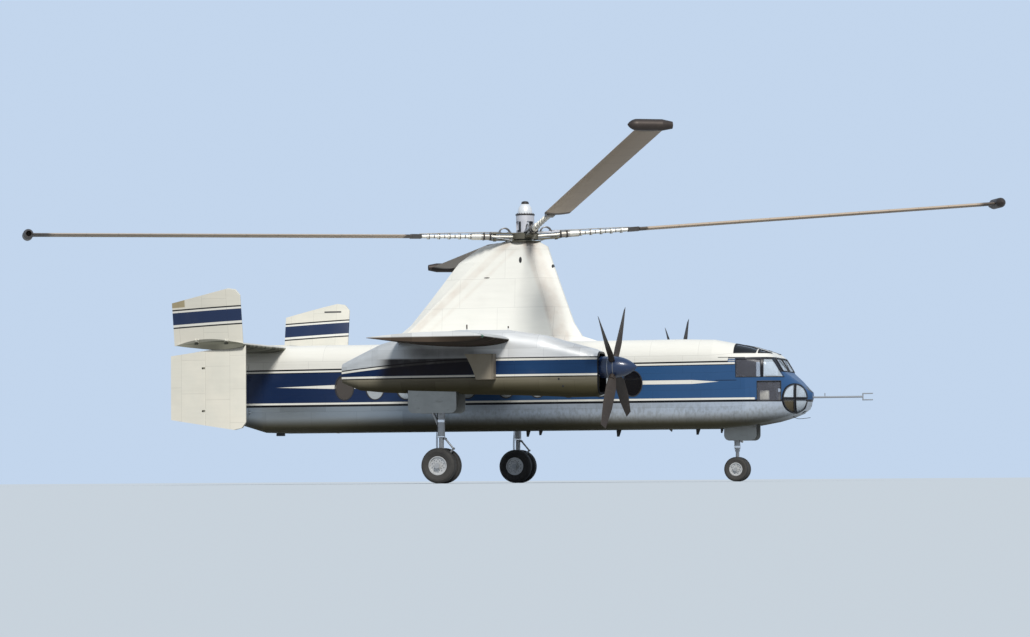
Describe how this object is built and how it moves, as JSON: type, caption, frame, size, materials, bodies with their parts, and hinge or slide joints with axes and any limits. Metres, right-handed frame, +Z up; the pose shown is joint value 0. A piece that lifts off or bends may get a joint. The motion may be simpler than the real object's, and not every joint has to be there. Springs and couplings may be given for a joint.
{
  "type": "compound rotorcraft aeroplane",
  "caption": "Gyrodyne airliner with a tip-jet rotor on a tall pylon, a shoulder wing with turboprop nacelles, a finned tailplane, opening doors and fixed-down wheels.",
  "frame": {"origin": "on the ground under the rotor's axis, at the middle of the rotor's span both ways", "axes": "+X towards the nose, +Y to the port side, +Z up"},
  "size_m": [24.9646, 24.6623, 8.6719],
  "materials": {
    "bare_metal": "satin bare metal",
    "white_paint": "gloss white",
    "blue_paint": "gloss blue",
    "glass": "clear",
    "dark_fittings": "matt dark grey",
    "seat_leather": "worn brown",
    "dark_metal": "dark",
    "warm_grey": "heat stained",
    "leg_metal": "satin",
    "blade_skin": "matt tan",
    "propeller_black": "satin black",
    "tyre": "matt"
  },
  "bodies": {
    "airframe": {"fuselage_belly": "bare_metal", "nose_belly": "bare_metal", "nacelle_tail_left": "bare_metal", "nacelle_tail_right": "bare_metal", "fuselage_wall_left": "blue_paint", "fuselage_wall_right": "blue_paint", "fuselage_roof": "white_paint", "nose_shell": "blue_paint", "cockpit_glazing": "glass", "cabin_windows": "glass", "cockpit_fittings": "dark_fittings", "cockpit_seats": "seat_leather", "tail_cone": "white_paint", "wing": "bare_metal", "nacelle_left": "bare_metal", "nacelle_right": "bare_metal", "engines": "dark_metal", "exhaust_ducts": "warm_grey", "rotor_pylon": "white_paint", "tailplane": "white_paint", "lower_fins": "white_paint", "main_gear_legs": "leg_metal", "gear_doors": "bare_metal", "nose_gear_leg": "leg_metal", "nose_probe": "dark_metal", "belly_aerials": "dark_metal"},
    "rotor": {"rotor_hub": "dark_metal", "rotor_cap": "white_paint", "blade_arms": "leg_metal", "rotor_blades": "blade_skin", "tip_jets": "dark_metal"},
    "left_propeller": {"propeller_left": "propeller_black", "spinner_left": "blue_paint"},
    "right_propeller": {"propeller_right": "propeller_black", "spinner_right": "blue_paint"},
    "nose_steering": {"nose_fork": "leg_metal"},
    "nose_wheels": {"nose_tyres": "tyre", "nose_hubs": "leg_metal"},
    "left_main_wheels": {"main_tyres_left": "tyre", "main_hubs_left": "leg_metal"},
    "right_main_wheels": {"main_tyres_right": "tyre", "main_hubs_right": "leg_metal"},
    "left_rudder": {"rudder_left": "white_paint"},
    "right_rudder": {"rudder_right": "white_paint"},
    "left_elevator": {"elevator_left": "white_paint"},
    "right_elevator": {"elevator_right": "white_paint"},
    "left_aileron": {"aileron_left": "bare_metal"},
    "right_aileron": {"aileron_right": "bare_metal"},
    "left_upper_fin": {"upper_fin_left": "white_paint"},
    "right_upper_fin": {"upper_fin_right": "white_paint"},
    "front_door": {"passenger_door": "blue_paint"},
    "left_clamshell_door": {"clamshell_door_left": "blue_paint"},
    "right_clamshell_door": {"clamshell_door_right": "blue_paint"}
  },
  "joints": [
    {"name": "rotor_spin", "type": "hinge", "parent": "airframe", "child": "rotor", "pos_m": [0, 0, 6.76], "axis": [0, 0, 1], "continuous": true},
    {"name": "left_propeller_spin", "type": "hinge", "parent": "airframe", "child": "left_propeller", "pos_m": [3.42, 3.8, 3.015], "axis": [1, 0, 0], "continuous": true},
    {"name": "right_propeller_spin", "type": "hinge", "parent": "airframe", "child": "right_propeller", "pos_m": [3.42, -3.8, 3.015], "axis": [1, 0, 0], "continuous": true},
    {"name": "nose_wheel_steering", "type": "hinge", "parent": "airframe", "child": "nose_steering", "pos_m": [5.9, 0, 0.33], "axis": [0, 0, 1], "range_deg": [-45, 45]},
    {"name": "nose_wheels_roll", "type": "hinge", "parent": "nose_steering", "child": "nose_wheels", "pos_m": [5.9, 0, 0.33], "axis": [0, 1, 0], "continuous": true},
    {"name": "left_main_wheels_roll", "type": "hinge", "parent": "airframe", "child": "left_main_wheels", "pos_m": [-1.3, 3.8, 0.47], "axis": [0, 1, 0], "continuous": true},
    {"name": "right_main_wheels_roll", "type": "hinge", "parent": "airframe", "child": "right_main_wheels", "pos_m": [-1.3, -3.8, 0.47], "axis": [0, 1, 0], "continuous": true},
    {"name": "left_rudder_turn", "type": "hinge", "parent": "airframe", "child": "left_rudder", "pos_m": [-7.75, 4.4, 2.53], "axis": [0, 0, 1], "range_deg": [-25, 25]},
    {"name": "right_rudder_turn", "type": "hinge", "parent": "airframe", "child": "right_rudder", "pos_m": [-7.75, -4.4, 2.53], "axis": [0, 0, 1], "range_deg": [-25, 25]},
    {"name": "left_elevator_turn", "type": "hinge", "parent": "airframe", "child": "left_elevator", "pos_m": [-7.8208, 2.7, 3.74], "axis": [0, 1, 0], "range_deg": [-25, 20]},
    {"name": "right_elevator_turn", "type": "hinge", "parent": "airframe", "child": "right_elevator", "pos_m": [-7.8208, -2.7, 3.74], "axis": [0, 1, 0], "range_deg": [-25, 20]},
    {"name": "left_aileron_turn", "type": "hinge", "parent": "airframe", "child": "left_aileron", "pos_m": [-1.6082, 5.775, 3.76], "axis": [0, 1, 0], "range_deg": [-20, 20]},
    {"name": "right_aileron_turn", "type": "hinge", "parent": "airframe", "child": "right_aileron", "pos_m": [-1.6082, -5.775, 3.76], "axis": [0, 1, 0], "range_deg": [-20, 20]},
    {"name": "left_upper_fin_fold", "type": "hinge", "parent": "airframe", "child": "left_upper_fin", "pos_m": [-7.5, 4.604, 3.84], "axis": [-1, 0, 0], "range_deg": [0, 80]},
    {"name": "right_upper_fin_fold", "type": "hinge", "parent": "airframe", "child": "right_upper_fin", "pos_m": [-7.5, -4.604, 3.84], "axis": [1, 0, 0], "range_deg": [0, 80]},
    {"name": "front_door_open", "type": "hinge", "parent": "airframe", "child": "front_door", "pos_m": [5.097, 1.406, 2.53], "axis": [0, 0, -1], "range_deg": [0, 100]},
    {"name": "left_clamshell_open", "type": "hinge", "parent": "airframe", "child": "left_clamshell_door", "pos_m": [-7.603, 1.406, 2.43], "axis": [0, 0, -1], "range_deg": [0, 95]},
    {"name": "right_clamshell_open", "type": "hinge", "parent": "airframe", "child": "right_clamshell_door", "pos_m": [-7.603, -1.406, 2.43], "axis": [0, 0, 1], "range_deg": [0, 95]}
  ]
}
